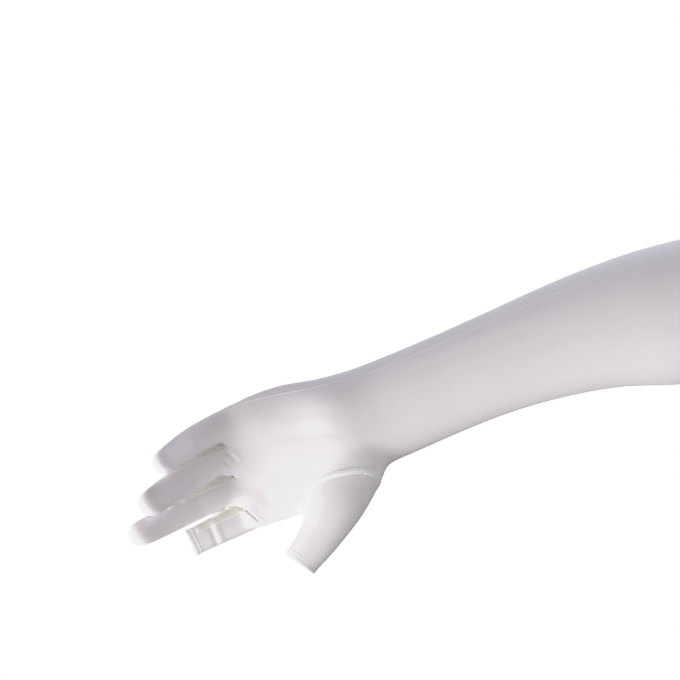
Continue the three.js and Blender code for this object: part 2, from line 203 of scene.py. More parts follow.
class SleeveSizes(PropertyGroup):
    """Sizes of the sewn sleeve."""

    wall: FloatProperty(name="Wall", description="Thickness of the knit", default=0.9 * MM, unit="LENGTH")
    voxel: FloatProperty(
        name="Mesh", description="Edge length of the cloth's mesh", default=1.3 * MM, unit="LENGTH"
    )
    hem_lift: FloatProperty(name="Hem lift", description="Height of a hem", default=0.15 * MM, unit="LENGTH")
    seam_lift: FloatProperty(
        name="Seam lift", description="Height of a seam", default=0.5 * MM, unit="LENGTH"
    )
    side_seam: FloatProperty(
        name="Side seam", description="Width of the side seam", default=2.2 * MM, unit="LENGTH"
    )
    thumb_seam: FloatProperty(
        name="Thumb seam", description="Width of its band", default=4.8 * MM, unit="LENGTH"
    )
    stitch: FloatProperty(name="Stitch", description="Pitch of the stitches", default=2.3 * MM, unit="LENGTH")


class SleeveColours(PropertyGroup):
    """Colours of the cloth, its thread and the stage."""

    knit: FloatVectorProperty(
        name="Knit", description="Main cloth", subtype="COLOR", default=linear("#f4eef3")
    )
    # Side strips: white jersey tinted warm, a painted warm shade standing for the bounce light in the shaded
    # slits between the fingers
    strip: FloatVectorProperty(
        name="Strip", description="Side strips", subtype="COLOR", default=linear("#f2f0e8")
    )
    thread: FloatVectorProperty(
        name="Thread", description="Seams", subtype="COLOR", default=linear("#fbfafb")
    )
    stage: FloatVectorProperty(
        name="Stage", description="Backdrop", subtype="COLOR", default=linear("#ffffff")
    )


def hermite(places, values, at):
    """Smooth value at each place: a cubic between rows, its slope at a row that of the chord across it."""
    at = np.clip(np.asarray(at, float), places[0], places[-1])
    padded_p = np.concatenate([places[:1], places, places[-1:]])
    padded_v = np.concatenate([values[:1], values, values[-1:]])
    slope = (padded_v[2:] - padded_v[:-2]) / (padded_p[2:] - padded_p[:-2])
    low = np.clip(np.searchsorted(places, at, side="left") - 1, 0, len(places) - 2)
    span = places[low + 1] - places[low]
    rise = values[low + 1] - values[low]
    t = (at - places[low]) / span
    bend = (1 - t) * (slope[low] * span - rise) - t * (slope[low + 1] * span - rise)
    return values[low] + rise * t + t * (1 - t) * bend


def rounded(value, squareness):
    """Signed power of a sine or cosine, which gives a superellipse its fuller corners."""
    return np.sign(value) * np.abs(value) ** (2 / squareness)


def lengths(vectors):
    """Lengths of vectors."""
    return np.linalg.norm(vectors, axis=-1)


def unit(vectors):
    """Vectors scaled to length one."""
    return vectors / np.maximum(lengths(vectors)[..., None], 1e-12)


def run_along(path):
    """Run along a path at each of its points, from 0."""
    return np.concatenate([[0], np.cumsum(lengths(np.diff(path, axis=0)))])


def arm_columns(along):
    """The arm table's columns at places along the arm."""
    places, *columns = ARM_SECTIONS.T
    return [hermite(places, column, along) for column in columns]


def arm_surface(along, turn, offset=0.0):
    """Arm and palm: a superellipse with its own palm and back depth at each place along the arm. Turn 0 is
    the little finger edge and grows towards the back. The section leans in x by its rake times z."""
    along, turn = np.broadcast_arrays(np.asarray(along, float), turn)
    ulnar, radial, palm, back, rake = arm_columns(along)
    half = (ulnar - radial) / 2 + offset
    depth = np.where(np.sin(turn) < 0, -palm, back) + offset
    z = (ulnar + radial) / 2 + half * rounded(np.cos(turn), ARM_SQUARENESS)
    y = depth * rounded(np.sin(turn), ARM_SQUARENESS)
    return np.stack([along + rake * z, y, z], axis=-1)


def centripetal(points, t):
    """Centripetal Catmull-Rom curve through the points, t from 0 to 1 with equal shares for each span."""
    knots = np.array([2 * points[0] - points[1], *points, 2 * points[-1] - points[-2]])
    span = np.clip((t * (len(points) - 1)).astype(int), 0, len(points) - 2)
    local = (t * (len(points) - 1) - span)[:, None]
    p0, p1, p2, p3 = (knots[span + i] for i in range(4))
    d0, d1, d2 = (lengths(b - a)[:, None] ** 0.5 for a, b in ((p0, p1), (p1, p2), (p2, p3)))
    m1 = ((p1 - p0) / d0 - (p2 - p0) / (d0 + d1) + (p2 - p1) / d1) * d1
    m2 = ((p2 - p1) / d1 - (p3 - p1) / (d1 + d2) + (p3 - p2) / d2) * d1
    cubic = (3 * (p2 - p1) - 2 * m1 - m2) * local**2 + (2 * (p1 - p2) + m1 + m2) * local**3
    return p1 + m1 * local + cubic


class Limb:
    """A finger or the thumb: a smooth centre line with a width and a depth stated at each of its points."""

    def __init__(self, points, width, depth):
        self.points = np.array(points, float)
        self.sizes = np.array([width, depth], float)
        self.t = np.linspace(0, 1, 601)
        self.run = run_along(centripetal(self.points, self.t))
        self.length = self.run[-1]

    def frames(self, share):
        """Centre, direction, side (across the palm) and normal (to the back) at shares of the length."""
        t = np.interp(np.clip(share, 0, 1) * self.length, self.run, self.t)
        after, before = (centripetal(self.points, np.clip(t + step, 0, 1)) for step in (1e-3, -1e-3))
        ahead = unit(after - before)
        over = ((np.asarray(share, float) - np.clip(share, 0, 1)) * self.length)[:, None]
        centre = centripetal(self.points, t) + ahead * over
        side = unit(np.cross([0.0, 1.0, 0.0], ahead))
        half = [hermite(np.linspace(0, 1, len(row)), row, t) / 2 for row in self.sizes]
        return centre, ahead, side, np.cross(ahead, side), half

    def surface(self, share, turn, offset=0.0, scale=1.0):
        """Superellipse rings round the centre line: offset grows them, scale draws in a closed tip."""
        centre, _, side, normal, (width, depth) = self.frames(share)
        across = ((width + offset) * scale)[:, None] * rounded(np.cos(turn), LIMB_SQUARENESS)
        through = ((depth + offset) * scale)[:, None] * rounded(np.sin(turn), LIMB_SQUARENESS)
        return centre[:, None] + across[..., None] * side[:, None] + through[..., None] * normal[:, None]


def finger_limb(root, bones, yaw, flex, width, depth):
    """Limb through the knuckle, joints and tip: each bone turns by yaw in the palm and by flex out of it."""
    yaw, flex = np.radians(yaw), np.radians(flex)
    steps = np.stack([-np.cos(flex) * np.cos(yaw), -np.sin(flex), -np.cos(flex) * np.sin(yaw)], axis=1)
    joints = np.concatenate([np.zeros((1, 3)), np.cumsum(steps * np.array(bones)[:, None], axis=0)])
    return Limb(np.array(root, float) + joints, width, depth)


LIMBS = {name: finger_limb(**row) for name, row in FINGERS.items()}
THUMB = Limb(THUMB_SECTIONS[:, :3], THUMB_SECTIONS[:, 3], THUMB_SECTIONS[:, 4])


def turns(count):
    """Evenly spaced turns round a section."""
    return np.linspace(0, 2 * math.pi, count, endpoint=False)


def grid_quads(rows, columns, wrap_rows=False):
    """Quads of a grid of points stored row by row: each row is a ring, and the rows may wrap round too."""
    i, k = np.divmod(np.arange((rows - (not wrap_rows)) * columns), columns)
    down, right = (i + 1) % rows, (k + 1) % columns
    start, below = i * columns, down * columns
    return np.stack([start + k, start + right, below + right, below + k], axis=1)


def joined(lofts):
    """Points and faces of lofts through rings, put together, with a flat face on each end of each."""
    points, faces, start = [], [], 0
    for rings in lofts:
        rows, columns = rings.shape[:2]
        ring = np.arange(columns) + start
        ends = ring[::-1].tolist(), (ring + (rows - 1) * columns).tolist()
        faces += [*(grid_quads(rows, columns) + start).tolist(), *ends]
        points.append(rings.reshape(-1, 3))
        start += rows * columns
    return np.concatenate(points), faces


def closed_finger(limb):
    """Finger with a blunt end: towards the tip the rings follow a quarter of a superellipse."""
    shoulder = 1 - TIP_ROUND / limb.length
    angle = np.linspace(0, math.pi / 2, 9)[1:-1]
    tip = shoulder + (1 - shoulder) * np.sin(angle) ** (2 / TIP_BLUNTNESS)
    share = np.concatenate([np.linspace(0, shoulder, 50), tip])
    scale = np.concatenate([np.ones(50), np.cos(angle) ** (2 / TIP_BLUNTNESS)])
    return limb.surface(share, turns(48), 0.0, scale)


def glove_lofts():
    """Rings of the arm with the palm, the thumb and the fingers; open ends run on past their hems."""
    end = CUFF_X + ARM_OVER
    along = end - (end - ARM_SECTIONS[0, 0]) * (1 - (1 - np.linspace(0, 1, 150)) ** ARM_SPREAD)
    lofts = [arm_surface(along[:, None], turns(120)[None])]
    lofts.append(THUMB.surface(np.linspace(0, TIP_OVER, 60), turns(64)))
    lofts.append(LIMBS["index"].surface(np.linspace(0, TIP_OVER, 60), turns(48)))
    lofts.extend(closed_finger(LIMBS[name]) for name in ("little", "ring", "middle"))
    return lofts


def mesh_of(name, points, faces):
    """Mesh from millimetre points about the wrist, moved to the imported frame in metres."""
    mesh = bpy.data.meshes.new(name)
    mesh.from_pydata(((points + WRIST) * MM).tolist(), [], [list(face) for face in faces])
    mesh.validate()
    return mesh


def add_object(name, mesh):
    """Object with its place in its mesh, linked to the scene."""
    piece = bpy.data.objects.new(name, mesh)
    bpy.context.scene.collection.objects.link(piece)
    return piece


def fetched(items, name, width, kind=float):
    """One property of a mesh's items, with a row for each item."""
    flat = np.empty(len(items) * width, kind)
    items.foreach_get(name, flat)
    return flat.reshape(-1, width)


def points_of(mesh):
    """Vertex places of a mesh, in millimetres about the wrist."""
    return fetched(mesh.vertices, "co", 3) / MM - WRIST


def normals_of(mesh):
    """Vertex normals of a mesh."""
    return fetched(mesh.vertex_normals, "vector", 3)


@contextlib.contextmanager
def edited(mesh):
    """A mesh as a bmesh, which is written back at the end."""
    solid = bmesh.new()
    solid.from_mesh(mesh)
    yield solid
    solid.to_mesh(mesh)
    solid.free()


def place_points(mesh, points):
    """Moves a mesh's vertices to places in millimetres about the wrist."""
    mesh.vertices.foreach_set("co", ((points + WRIST) * MM).ravel())
    mesh.update()


def relax(points, edges, weight, rounds):
    """Moves each point towards the mean of its neighbours by its weight, for a number of rounds."""
    ends = np.concatenate([edges[:, 0], edges[:, 1]])
    others = np.concatenate([edges[:, 1], edges[:, 0]])
    count = np.bincount(ends, minlength=len(points))[:, None]
    for _ in range(rounds):
        sums = [np.bincount(ends, column, minlength=len(points)) for column in points[others].T]
        points = points + weight[:, None] * (np.stack(sums, axis=1) / count - points)
    return points


ARM_PLAIN = 24.0  # from here up the arm is plain, and its mesh is drawn out
ARM_SQUEEZE, ARM_EASE = 0.15, 16.0  # its squeeze for the remesh, and the length over which that starts
SMOOTH_ROUNDS = 6
SMOOTH_WEIGHTS = (0.55, -0.57)  # smoothing in and back out, which keeps the volume
SPAN_ROUNDS = 40
FACING_GAIN = 1.6  # relief is full where the normal's share in y is over 1 / 1.6
EDGE_ON = 0.3  # normals with a greater share in y have turned to the back


def bumps(points, rows):
    """Height of each soft hill at each point: it falls off as a bell along x and z."""
    gap_x = (points[:, 0, None] - rows[:, 0]) / rows[:, 2]
    gap_z = (points[:, 2, None] - rows[:, 1]) / rows[:, 3]
    return rows[:, 4] * np.exp(-(gap_x**2) - gap_z**2)


def fold_lift(points, rows):
    """Height of each fold at each point: a bell across its bowed line that fades towards the line's ends."""
    start, along = rows[:, :2], rows[:, 2:4] - rows[:, :2]
    length = lengths(along)
    along = along / length[:, None]
    gap = points[:, None, ::2] - start
    share = (gap * along).sum(axis=2) / length
    across = gap[..., 0] * -along[:, 1] + gap[..., 1] * along[:, 0]
    inside = np.clip(share, 0, 1)
    across = across - rows[:, 4] * 4 * inside * (1 - inside)
    fade = np.clip(share / FOLD_FADE, 0, 1) * np.clip((1 - share) / FOLD_FADE, 0, 1)
    return rows[:, 6] * np.exp(-((across / rows[:, 5]) ** 2)) * fade * fade * (3 - 2 * fade)


def slit_places(points):
    """Place across each slit, 0 at its lower edge and 1 at its upper, and the slit's depth at that x."""
    x, z = points[:, 0], points[:, 2]
    columns = ([np.interp(x, rows[:, 0], rows[:, i]) for rows in SLITS] for i in (1, 2, 3))
    lower, upper, depth = map(np.stack, columns)
    return (z - lower) / (upper - lower), depth


SLIT_LIP = 0.04  # how softly a slit ends at its upper edge, as a share of its width
SWELL_HEIGHT, SWELL_PLACE, SWELL_WIDTH = 0.08, 1.25, 0.15  # the lip past it, in shares of depth and width
SLIT_BACK, SLIT_FADE = 10.0, 6.0  # y where the slits end, and over how much of it they fade
LINED_FROM, LINED_FADE = -96.0, 2.0  # x where the strips' lining starts, and its fade
LINED_BACK = 11.0  # y where it ends
LINED_RISE, LINED_DEPTH = 8.0, 0.3  # how fast it starts at a slit's edges, and the depth from which it does
FINE_FROM, FINE_TO = -0.3, 1.5  # places across a slit between which the mesh is finer
FINE_DEPTH, FINE_BACK = 0.2, 9.0  # the slit's least depth and the greatest y for that


def slit_depth(points):
    """Depth of the slits: it grows from the lower edge of each to its upper edge, where a slightly raised lip
    ends it. It fades towards the back of the hand."""
    place, depth = slit_places(points)
    lip = 1 / (1 + np.exp((place - 1) / SLIT_LIP))
    swell = SWELL_HEIGHT * np.exp(-(((place - SWELL_PLACE) / SWELL_WIDTH) ** 2))
    total = (depth * (np.clip(place, 0, 1) ** 3 * lip - swell)).sum(axis=0)
    return total * np.clip((SLIT_BACK - points[:, 1]) / SLIT_FADE, 0, 1)


def inside_slit(points):
    """How far points lie inside a slit that a side strip lines: 1 well in it, 0 outside."""
    place, depth = slit_places(points)
    inside = np.clip(np.minimum(place, 1 - place) * LINED_RISE, 0, 1) * np.clip(depth - LINED_DEPTH, 0, 1)
    start = np.clip((LINED_FROM - points[:, 0]) / LINED_FADE, 0, 1)
    return inside.max(axis=0) * start * (points[:, 1] < LINED_BACK)


def near_slit(points):
    """Which points lie in a slit or close beside it, on the palm side."""
    place, depth = slit_places(points)
    near = (place > FINE_FROM) & (place < FINE_TO) & (depth > FINE_DEPTH)
    return near.any(axis=0) & (points[:, 1] < FINE_BACK)


def halved(mesh, chosen):
    """Halves the edges of chosen faces of a mesh."""
    with edited(mesh) as solid:
        solid.faces.ensure_lookup_table()
        edges = dict.fromkeys(edge for i in np.flatnonzero(chosen) for edge in solid.faces[i].edges)
        bmesh.ops.subdivide_edges(solid, edges=list(edges), cuts=1, use_grid_fill=True)


def squeezed(points, undo=False):
    """Points with the plain arm drawn in along x: slowly at first, then to ARM_SQUEEZE of its length."""
    real = np.linspace(ARM_PLAIN, 400, 500)
    run = real - ARM_PLAIN
    drawn = ARM_PLAIN + ARM_SQUEEZE * run + (1 - ARM_SQUEEZE) * ARM_EASE * (1 - np.exp(-run / ARM_EASE))
    x = np.interp(points[:, 0], drawn, real) if undo else np.interp(points[:, 0], real, drawn)
    return np.column_stack([np.where(points[:, 0] > ARM_PLAIN, x, points[:, 0]), points[:, 1:]])


def facing(normals, side):
    """How far the cloth faces the palm side (-1) or the back (1), from 0 to 1."""
    return np.clip(normals[:, 1, None] * side * FACING_GAIN, 0, 1)


def to_palm(normals):
    """1 where the cloth faces the palm side, falling to 0 where it has turned to the back."""
    return np.clip((EDGE_ON - normals[:, 1]) / EDGE_ON, 0, 1)


@functools.cache
def shell():
    """The glove's whole shell as a mesh: joined lofts, drawn smooth where the cloth spans, with relief."""
    points, faces = joined(glove_lofts())
    rough = add_object("shell_lofts", mesh_of("shell_lofts", squeezed(points), faces))
    remesh = rough.modifiers.new("Joined", "REMESH")
    remesh.mode = "VOXEL"
    remesh.voxel_size = bpy.context.scene.sleeve_sizes.voxel
    solved = rough.evaluated_get(bpy.context.evaluated_depsgraph_get())
    mesh = bpy.data.meshes.new_from_object(solved)
    bpy.data.objects.remove(rough)

    places, edges = points_of(mesh), fetched(mesh.edges, "vertices", 2, int)
    for _ in range(SMOOTH_ROUNDS):
        for weight in SMOOTH_WEIGHTS:
            places = relax(places, edges, np.full(len(places), weight), 1)
    gaps = lengths(places[:, None] - SPANS[:, :3]) / SPANS[:, 3]
    places = relax(places, edges, (SPANS[:, 4] * np.exp(-(gaps**2))).max(axis=1), SPAN_ROUNDS)
    place_points(mesh, squeezed(places, undo=True))
    halved(mesh, near_slit(fetched(mesh.polygons, "center", 3) / MM - WRIST))
    places, normals = points_of(mesh), normals_of(mesh)
    lift = (bumps(places, RELIEF) * facing(normals, RELIEF[:, 5])).sum(axis=1)
    lift += (fold_lift(places, FOLDS) * facing(normals, FOLDS[:, 7])).sum(axis=1)
    sunk = slit_depth(places) * to_palm(normals)
    place_points(mesh, places + normals * lift[:, None] + sunk[:, None] * np.array([0.0, 1.0, 0.0]))
    return mesh


@functools.cache
def shell_tree():
    """Search tree of the shell, in millimetres about the wrist."""
    mesh = shell()
    mesh.calc_loop_triangles()
    corners = fetched(mesh.loop_triangles, "vertices", 3, int)
    return BVHTree.FromPolygons(points_of(mesh).tolist(), corners.tolist())


def snap(points):
    """Nearest places on the shell and the outward normals there."""
    hits = [shell_tree().find_nearest(Vector(p)) for p in points]
    return np.array([hit[0] for hit in hits]), np.array([hit[1] for hit in hits])


def evened(path, count, closed=False):
    """Path resampled to evenly spaced points."""
    whole = np.concatenate([path, path[:1]]) if closed else path
    run = run_along(whole)
    at = np.linspace(0, run[-1], count + 1)[:-1] if closed else np.linspace(0, run[-1], count)
    return np.stack([np.interp(at, run, whole[:, i]) for i in range(3)], axis=1)


def eased(path, rounds, closed=False):
    """Path with each point drawn to the middle of its neighbours, its ends held."""
    for _ in range(rounds):
        if closed:
            path = (np.roll(path, 1, axis=0) + 2 * path + np.roll(path, -1, axis=0)) / 4
        else:
            path = np.concatenate([path[:1], (path[:-2] + 2 * path[1:-1] + path[2:]) / 4, path[-1:]])
    return path


def directions(path, closed=False):
    """Unit directions along a path."""
    if closed:
        return unit(np.roll(path, -1, axis=0) - np.roll(path, 1, axis=0))
    return unit(np.gradient(path, axis=0))


def seam_frame():
    """Middle of the thumb's seam and its plane's directions: along it, up to the palm, out to the tip."""
    along = unit(SEAM_WRIST - SEAM_CROTCH)
    out = unit(np.cross(along, SEAM_PALM - SEAM_CROTCH))
    return (SEAM_CROTCH + SEAM_WRIST) / 2, along, np.cross(out, along), out


def unbowed(points, sign=1):
    """Points moved so that the thumb's bowed seam lies in its plane, or back again where sign is -1."""
    middle, along, _, out = seam_frame()
    bow = hermite(SEAM_BOW[:, 0], SEAM_BOW[:, 1], (points - middle) @ along)
    return points - sign * bow[:, None] * out


def face_centres(solid):
    """Middles of a bmesh's faces, in millimetres about the wrist."""
    return np.array([face.calc_center_median() for face in solid.faces]) / MM - WRIST


def split(solid, point, normal, region):
    """Splits the faces of a region along a plane and returns which faces of it lie past the plane."""
    near = region(face_centres(solid))
    solid.faces.ensure_lookup_table()
    faces = [solid.faces[i] for i in np.flatnonzero(near)]
    edges = {edge for face in faces for edge in face.edges}
    verts = {vert for face in faces for vert in face.verts}
    place = Vector(((point + WRIST) * MM).tolist())
    bmesh.ops.bisect_plane(
        solid, geom=[*verts, *edges, *faces], dist=1e-7, plane_co=place, plane_no=Vector(normal.tolist())
    )
    centres = face_centres(solid)
    return region(centres) & ((centres - point) @ normal > 0)


def drop(solid, chosen):
    """Removes chosen faces and what they leave loose."""
    solid.faces.ensure_lookup_table()
    bmesh.ops.delete(solid, geom=[solid.faces[i] for i in np.flatnonzero(chosen)], context="FACES")


THUMB_ROOM = (52.0, 45.0, -4.0)  # reach along the thumb's seam, up from it, and out from its plane
END_ROOM = 19.0  # reach of the room round an open end
CUT_ROOM = 6.0  # reach of the room before the cut at the cuff


def thumb_region(points):
    """The room round the thumb, on both sides of its seam."""
    middle, along, rise, out = seam_frame()
    gap = points - middle
    reach, height, start = THUMB_ROOM
    return (np.abs(gap @ along) < reach) & (np.abs(gap @ rise) < height) & (gap @ out > start)


def axis_gap(limb, points):
    """Distance from points to a limb's axis."""
    centre = limb.frames(np.linspace(0.3, 1, 60))[0]
    return lengths(points[:, None] - centre).min(axis=1)


def end_region(limb):
    """Test for the room round a limb's open end: points near it, and closer to its axis than to others."""
    centre = limb.frames(np.array([1.0]))[0][0]
    others = [other for other in (*LIMBS.values(), THUMB) if other is not limb]

    def test(points):
        near = lengths(points - centre) < END_ROOM
        close = points[near]
        near[near] = np.all([axis_gap(other, close) > axis_gap(limb, close) for other in others], axis=0)
        return near

    return test


def trim_end(solid, limb, hem):
    """Cuts a limb's shell off under its hem."""
    centre, ahead, *_ = limb.frames(np.array([1 - hem / limb.length]))
    drop(solid, split(solid, centre[0] + ahead[0] * HEM_LAP, ahead[0], end_region(limb)))


KNIT_STRAIGHT = -60.0  # from here to the fingers the knit's columns run straight
KNIT_FINGERS = -98.0  # from here on each finger has columns of its own
ARM_RADIUS, LIMB_RADIUS = 36.0, 9.0  # mean radii that turn an angle into a place across the knit
KNIT_REACH = (10, 10, 10, 11, 15)  # how far from its axis each finger's and the thumb's columns go


def knit_coordinates(points):
    """Across and along the knit, in millimetres: the turn round the arm or the nearest limb times a mean
    radius, and the run along it. The arm's turn starts at its side seam, where the pattern may break."""
    ulnar, radial, palm, back, _ = arm_columns(np.maximum(points[:, 0], KNIT_STRAIGHT))
    over = (points[:, 2] - (ulnar + radial) / 2) / (ulnar - radial)
    turn = np.arctan2(points[:, 1] / (back - palm) * 2, over * 2)
    start = -np.radians(np.interp(points[:, 0], SIDE_SEAM_TURN[:, 0], SIDE_SEAM_TURN[:, 1]))
    knit = np.stack([np.mod(turn - start, 2 * math.pi) * ARM_RADIUS, points[:, 0]], axis=1)
    best = np.full(len(points), np.inf)
    share = np.linspace(0.25, 1, 60)
    for limb, reach in zip((*LIMBS.values(), THUMB), KNIT_REACH):
        centre, ahead, side, normal, _ = limb.frames(share)
        gaps = lengths(points[:, None] - centre)
        near = gaps.argmin(axis=1)
        gap = gaps.min(axis=1)
        chosen = (gap < best) & (gap < reach) & ((points[:, 0] < KNIT_FINGERS) | (limb is THUMB))
        out = points - centre[near]
        angle = np.arctan2((out * normal[near]).sum(axis=1), (out * side[near]).sum(axis=1))
        run = share[near] * limb.length + (out * ahead[near]).sum(axis=1)
        own = np.stack([np.mod(angle + math.pi, 2 * math.pi) * LIMB_RADIUS, -run], axis=1)
        knit = np.where(chosen[:, None], own, knit)
        best = np.where(chosen, gap, best)
    return knit


def finished(piece, node, material):
    """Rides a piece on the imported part, lets it stand for its node and gives it its slot and material."""
    piece.data.polygons.foreach_set("use_smooth", np.ones(len(piece.data.polygons), bool))
    piece.data.materials.clear()
    piece.data.materials.append(material)
    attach(piece, "root")
    if node:
        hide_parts(node)
    return piece


def cloth_piece(name, solid):
    """Sheet cut from the shell, with its knit coordinates, crisp cut edges and a wall turned inwards."""
    for edge in solid.edges:
        edge.smooth = not edge.is_boundary
    mesh = bpy.data.meshes.new(name)
    solid.to_mesh(mesh)
    solid.free()
    place_points(mesh, unbowed(points_of(mesh), -1))
    knit = mesh.attributes.new("knit", "FLOAT_VECTOR", "POINT")
    across_along = knit_coordinates(points_of(mesh))
    knit.data.foreach_set("vector", np.pad(across_along, ((0, 0), (0, 1))).ravel())
    # Where a side strip lines a slit on the palm side, the knit takes the strip's warm colour: the strip as
    # it lies there, with its painted warm shade
    lined_warm_shade = mesh.attributes.new("lined_warm_shade", "FLOAT", "POINT")
    lined_warm_shade.data.foreach_set("value", inside_slit(points_of(mesh)) * to_palm(normals_of(mesh)))
    piece = add_object(name, mesh)
    wall = piece.modifiers.new("Wall", "SOLIDIFY")
    wall.thickness = bpy.context.scene.sleeve_sizes.wall
    wall.offset = -1
    return piece


def fresh_shell():
    """A bmesh copy of the shell, ready to be cut along the thumb's seam as if that lay flat."""
    mesh = shell().copy()
    place_points(mesh, unbowed(points_of(mesh)))
    solid = bmesh.new()
    solid.from_mesh(mesh)
    return solid


def closed_up(mesh):
    """Closes the open ends of a band with a face each and turns its faces outwards."""
    with edited(mesh) as solid:
        bmesh.ops.holes_fill(solid, edges=[edge for edge in solid.edges if edge.is_boundary])
        bmesh.ops.recalc_face_normals(solid, faces=solid.faces)


def grid_piece(name, grid, run, across, wrap_rows=False):
    """Closed band from a grid of points. Its UV map holds the run and the place across, in millimetres."""
    rows, columns = grid.shape[:2]
    quads = grid_quads(rows, columns, wrap_rows)
    mesh = mesh_of(name, grid.reshape(-1, 3), quads)
    i, k = np.divmod(quads[:, 0], columns)
    uv = np.stack([run[i[:, None] + (0, 0, 1, 1)], across[k[:, None] + (0, 1, 1, 0)]], axis=-1)
    mesh.uv_layers.new(name="sewn").data.foreach_set("uv", uv.ravel())
    closed_up(mesh)
    return add_object(name, mesh)


def ribbon_piece(name, path, normals, profile, closed=False):
    """Sewn band: a closed profile of (across, up) points carried along a path that lies on the shell."""
    across = unit(np.cross(directions(path, closed), normals))
    grid = path[:, None] + across[:, None] * profile[None, :, :1] + normals[:, None] * profile[None, :, 1:]
    run = np.arange(len(path) + 1) * np.linalg.norm(path[1] - path[0])
    return grid_piece(name, grid, run, np.append(profile[:, 0], profile[0, 0]), closed)


SEAM_UNDER, SEAM_EDGE = -0.6, -0.1  # height of a sewn band's underside and of its edges
SEAM_BULGE = 1.3  # power of the dome's cosine
SIDE_LIFT = 0.5  # the side seam's lift, as a share of the thumb band's


def dome(width, lift, count=9):
    """Closed profile of a sewn band: a low dome, a cosine to a power, over a flat underside."""
    across = np.linspace(-width / 2, width / 2, count)
    bulge = np.cos(np.linspace(-math.pi / 2, math.pi / 2, count)) ** SEAM_BULGE
    top = np.stack([across, SEAM_EDGE + (lift - SEAM_EDGE) * bulge], axis=1)
    return np.concatenate([top, [(width / 2, SEAM_UNDER), (-width / 2, SEAM_UNDER)]])


SEAM_WALK = (4, 44, 161)  # how far from the seam's middle the rays start and end, and their count of points


def thumb_seam_path():
    """Closed path of the thumb's seam: where the bowed seam surface cuts the shell, found by following rays
    in it from its middle until they leave the shell."""
    middle, along, rise, _ = seam_frame()
    angle = turns(240)
    rays = np.cos(angle)[:, None] * along + np.sin(angle)[:, None] * rise
    reach = np.linspace(*SEAM_WALK)
    walks = unbowed((middle + reach[None, :, None] * rays[:, None]).reshape(-1, 3), -1)
    places, normals = snap(walks)
    outside = (((walks - places) * normals).sum(axis=1) > 0).reshape(len(angle), -1)
    first = outside.argmax(axis=1)
    path = walks.reshape(len(angle), -1, 3)[np.arange(len(angle)), first]
    path = eased(evened(path, 200, closed=True), 4, closed=True)
    return snap(path)


SIDE_SHARES = (0.34, 0.82)  # the little finger's shares between which the side seam runs on it
SIDE_LEAN = math.radians(18)  # its turn there, from the finger's side towards the palm
SIDE_LEAVES = -84.0  # x where it leaves the arm for the finger
SIDE_POINTS = 300
SIDE_END = ((270, 299), (0, 0.6))  # its last points sink into the cloth


def side_seam_path():
    """Path of the side seam: from the cuff's hem along its turn on the arm, then on the little finger."""
    along = np.linspace(CUFF_X - CUFF_HEM, SIDE_LEAVES, 240)
    arm = arm_surface(along, -np.radians(hermite(SIDE_SEAM_TURN[:, 0], SIDE_SEAM_TURN[:, 1], along)))
    centre, _, side, normal, (width, depth) = LIMBS["little"].frames(np.linspace(*SIDE_SHARES, 46))
    over, down = width * math.cos(SIDE_LEAN), depth * math.sin(SIDE_LEAN)
    edge = centre + side * over[:, None] - normal * down[:, None]
    places, normals = snap(eased(evened(np.concatenate([arm, edge]), SIDE_POINTS), 12))
    sunk = np.interp(np.arange(SIDE_POINTS), *SIDE_END)
    return places - normals * sunk[:, None], normals


def strip_rows(first, second, columns=9):
    """Grid of a side strip on the shell: up the near finger's side to the crotch, round it, and out along the
    far one. The rows at the crotch fan out from the middle of the gap. Turns go from +Z towards the palm."""
    across = np.linspace(0, 1, columns)
    out = np.linspace(STRIP_REACH[second], STRIP_BASE, 46)
    shares, *edges = STRIP_EDGES[second].T
    low, high = (np.interp(out, shares, edge)[:, None] for edge in edges)
    near = LIMBS[second].surface(out, -np.radians(low + (high - low) * across))
    low, high = STRIP_FAR_TURNS
    far = LIMBS[first].surface(out[::-1], -np.radians(low + (high - low) * across))
    heart = (near[-1] + far[0]) / 2
    spread = (far[0] - near[-1]) / 2
    angle = np.linspace(0, math.pi, 22)[1:-1, None, None]
    bay = heart - np.cos(angle) * spread + np.sin(angle) * np.array([STRIP_BAY, 0, 0])
    grid = np.concatenate([near, bay, far])
    grid[..., 1] += slit_depth(grid.reshape(-1, 3)).reshape(grid.shape[:2])
    return grid


def laid_on_shell(grid, rounds=3):
    """Grid moved to the nearest places on the shell and evened both ways, with the shell's normals there."""
    for _ in range(rounds):
        places, normals = snap(grid.reshape(-1, 3))
        grid = eased(places.reshape(grid.shape), 4)
        grid = eased(grid.transpose(1, 0, 2), 2).transpose(1, 0, 2)
    return grid, smooth_normals(normals.reshape(grid.shape), 6)


STRIP_LIFT, STRIP_CROWN, STRIP_UNDER = 0.25, 0.25, 0.5  # a strip's height at its edges, crown and depth


def strip_piece(name, grid, normals):
    """Side strip: an upper face that crowns between its sewn edges, and an under face inside the shell."""
    across = np.linspace(-1, 1, grid.shape[1])
    crown = (STRIP_LIFT + STRIP_CROWN * (1 - across**2))[None, :, None]
    whole = np.concatenate([grid + normals * crown, (grid - normals * STRIP_UNDER)[:, ::-1]], axis=1)
    width = lengths(grid[:, -1] - grid[:, 0]).mean() / 2
    place = np.concatenate([across, across[::-1], across[:1]]) * width
    return grid_piece(name, whole, run_along(grid[:, grid.shape[1] // 2]), place)


def smooth_normals(normals, rounds, closed=False):
    """Normals along a path, evened out."""
    return unit(eased(normals, rounds, closed))


STITCH_TURN = turns(6)
STITCH_RISE = np.array([-1.0, -0.72, 0.0, 0.72, 1.0])
STITCH_SHARE = 0.72  # a stitch's length, as a share of the pitch
STITCH_WIDTH, STITCH_HEIGHT = 0.5, 0.09  # a stitch's whole width and half height
STITCH_SUNK = 0.1  # how far the hems' stitches lie in their groove
BAND_ROWS, BAND_HEIGHT = 0.3, 0.72  # place of the thumb band's stitches, in shares of its width and lift


